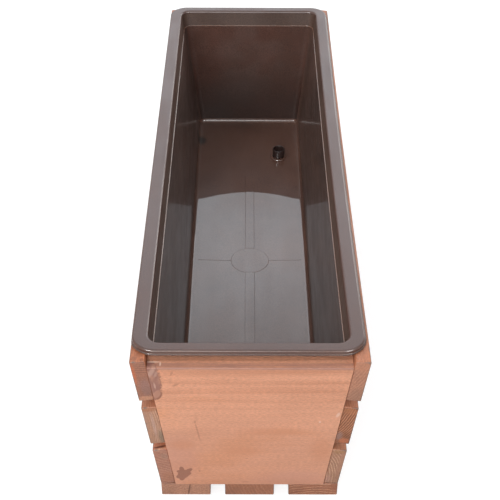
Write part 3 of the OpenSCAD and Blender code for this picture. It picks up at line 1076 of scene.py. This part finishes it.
hole = drain["hole"] / 2
seat = drain["seat"] / 2
seatTop = drain["seatTop"]
seatLow = trough["floorTop"] - 0.6
seatProfile = [(hole, seatLow), (seat + 0.6, seatLow), (seat + 0.3, trough["floorTop"] + 0.1),
               (seat, seatTop - 0.2), (seat - 0.4, seatTop), (hole + 0.2, seatTop), (hole, seatTop - 0.2)]
seatPiece = turned("trough_drain_seat", seatProfile)
dress(seatPiece, plastic)
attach(seatPiece, "trough")

plugBase = plugLow.z / mm
plugTop = plugHigh.z / mm
plugProfile = [(0.001, plugBase), (5.1, plugBase), (5.5, plugBase + 0.4), (5.5, seatTop), (7.1, seatTop),
               (7.5, seatTop + 0.4), (7.5, plugTop - 0.7), (7.3, plugTop - 0.2), (6.8, plugTop),
               (6.3, plugTop - 0.2), (6.1, plugTop - 0.7), (6.1, seatTop + 2.2), (5.4, seatTop + 1.5),
               (0.001, seatTop + 1.4)]
plugPiece = turned("drain_plug_cap", plugProfile)
plugLook = dict(colour=(54, 39, 36), warm=(46, 33, 31), roughness=0.4, gloss=0.34, coat=0.12, grain=0.02)
dress(plugPiece, plasticMaterial("plug_plastic", plugLook))
placePiece(plugPiece, "drain_plug", "drain_plug")
print("plug made")

# Raised lines moulded in the floor: a long flat band, a disc at its middle and a bead across
floorMarks = {
    "x": 0.6,
    "bandHalfWidth": 5.5,
    "bandHalfLength": 159,
    "discRadius": 21.4,
    "beadHalfWidth": 0.6,
    "beadEnd": 58,
    "height": 0.19,
    "slope": 0.7,
    "root": 0.3,      # how far each mark reaches into the floor
    "overlap": 1.2,   # how far the lines reach under the disc
}


def addMark(bm, outline):
    face = bm.faces.new([bm.verts.new(metresOf((x, y, -floorMarks["root"]))) for x, y in outline])
    if face.normal.z < 0:
        face.normal_flip()
    top, raised = extrude(bm, face)
    bmesh.ops.translate(bm, verts=raised, vec=(0, 0, (floorMarks["root"] + floorMarks["height"]) * mm))
    bevel(bm, top.edges, floorMarks["slope"], 2)


def addBar(bm, x0, x1, y0, y1):
    addMark(bm, [(x0, y0), (x1, y0), (x1, y1), (x0, y1)])


def makeFloorMarks():
    bm = bmesh.new()
    half = floorMarks["bandHalfWidth"]
    radius = floorMarks["discRadius"]
    start = radius - floorMarks["overlap"]
    for sign in (-1, 1):
        addBar(bm, -half, half, *sorted((sign * start, sign * floorMarks["bandHalfLength"])))
        ends = sorted((sign * start, sign * floorMarks["beadEnd"]))
        addBar(bm, *ends, -floorMarks["beadHalfWidth"], floorMarks["beadHalfWidth"])
    turns = [math.tau * index / 64 for index in range(64)]
    addMark(bm, [(radius * math.cos(angle), radius * math.sin(angle)) for angle in turns])
    sliceAcross(bm, 1, metresOf(range(-156, 157, 6)))
    sliceAcross(bm, 0, metresOf(range(-54, 55, 6)))
    offset = floorMarks["x"] - troughX - trough["floorShift"]
    for vertex in bm.verts:
        drop = sagAt(vertex.co.x / mm + offset, vertex.co.y / mm)
        vertex.co.z += (trough["floorTop"] - drop) * mm
    return settle(bm, "trough_floor_marks", (floorMarks["x"], troughY, 0))


marksPiece = makeFloorMarks()
dress(marksPiece, plastic)
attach(marksPiece, "trough")
print("floor marks made")

# Studio: a pale floor that looks white to the camera, a white surround and soft lamps.
# Each lamp has its place in metres, its width and height, its brightness and tint, and whether matt
# surfaces and gloss show it
studio = {
    "floorSize": 8,
    "floorColour": 0.42,
    "floorSeenColour": 0.35,
    "floorGlow": 0.78,         # only to the camera and in gloss
    "surroundLight": 0.4,
    "aim": (0, 0, 0.1),
    "fading": ("back_softbox", 0.66, 0.98, 0.45),   # a lamp, from where to where it dims, and to how much
    "lamps": {
        "key": ((-0.4, -1.7, 1.3), 1.1, 1.0, 6.3, (1, 1, 1), True, True),
        "fill": ((-1.3, -0.5, 1.6), 1.4, 1.4, 1.7, (1, 1, 1), True, False),
        "back_softbox": ((0, 2.063, 1.508), 2.8, 1.24, 2.2, (0.75, 0.85, 0.94), True, True),
        "top_softbox": ((0, 1.135, 2.054), 2.4, 1.1, 2.2, (0.5, 0.58, 0.64), True, True),
        "right_back": ((1.1, 1.72, 0.83), 0.95, 0.78, 3.6, (1, 1, 1), True, True),
        "right_lip": ((1.25, 1.3, 0.8), 0.6, 0.5, 6, (1, 0.95, 0.92), False, True),
        "left_corner": ((-1.0, -1.65, 1.45), 0.7, 0.4, 70, (1, 1, 1), False, True),
        "right_corner": ((1.0, -1.65, 1.45), 0.7, 0.4, 70, (1, 1, 1), False, True),
    },
}


def showRays(tree):   # 1 for the rays that the camera, gloss and glass see
    rays = tree.nodes.new("ShaderNodeLightPath").outputs
    seen = calc("MAXIMUM", rays["Is Camera Ray"], rays["Is Glossy Ray"])
    return calc("MAXIMUM", seen, rays["Is Transmission Ray"])


def dimTowardsTop(data, low, high, least):
    data.use_nodes = True
    tree = data.node_tree
    place = tree.nodes.new("ShaderNodeNewGeometry").outputs["Parametric"]
    height = addNode("SeparateXYZ", {0: place})[1]
    feed(tree.nodes["Emission"], {"Strength": fade(height, low, high, 1.0, least)})


def makeStudio():
    bm = bmesh.new()
    bmesh.ops.create_grid(bm, x_segments=1, y_segments=1, size=studio["floorSize"] / 2)
    ground = toObject(bm, "studio_floor")
    material, tree, shader = newMaterial("studio_floor")
    seen = showRays(tree)
    plain = (studio["floorColour"],) * 3 + (1,)
    shown = (studio["floorSeenColour"],) * 3 + (1,)
    glow = times(seen, studio["floorGlow"])
    feed(shader, {"Base Color": blend(seen, plain, shown), "Emission Color": (1, 1, 1, 1),
                  "Emission Strength": glow, "Roughness": 1.0, "Specular IOR Level": 0.0})
    ground.data.materials.append(material)

    world = bpy.data.worlds.new("studio")
    world.use_nodes = True
    scene.world = world
    tree = world.node_tree
    strength = fade(showRays(tree), 0.0, 1.0, studio["surroundLight"], 1.0)
    feed(tree.nodes["Background"], {"Color": (1, 1, 1, 1), "Strength": strength})

    for lampName, (place, width, height, brightness, tint, onMatt, inGloss) in studio["lamps"].items():
        data = bpy.data.lights.new(lampName, "AREA")
        data.shape = "RECTANGLE"
        data.size = width
        data.size_y = height
        data.energy = brightness * width * height * math.pi
        data.color = tint
        light = bpy.data.objects.new(lampName, data)
        aim = (Vector(studio["aim"]) - Vector(place)).to_track_quat("-Z", "Y")
        light.matrix_world = Matrix.Translation(place) @ aim.to_matrix().to_4x4()
        light.visible_camera = False
        light.visible_glossy = inGloss
        light.visible_diffuse = onMatt
        scene.collection.objects.link(light)
        if lampName == studio["fading"][0]:
            dimTowardsTop(data, *studio["fading"][1:])


makeStudio()
scene.view_settings.view_transform = "Standard"
print("studio made")
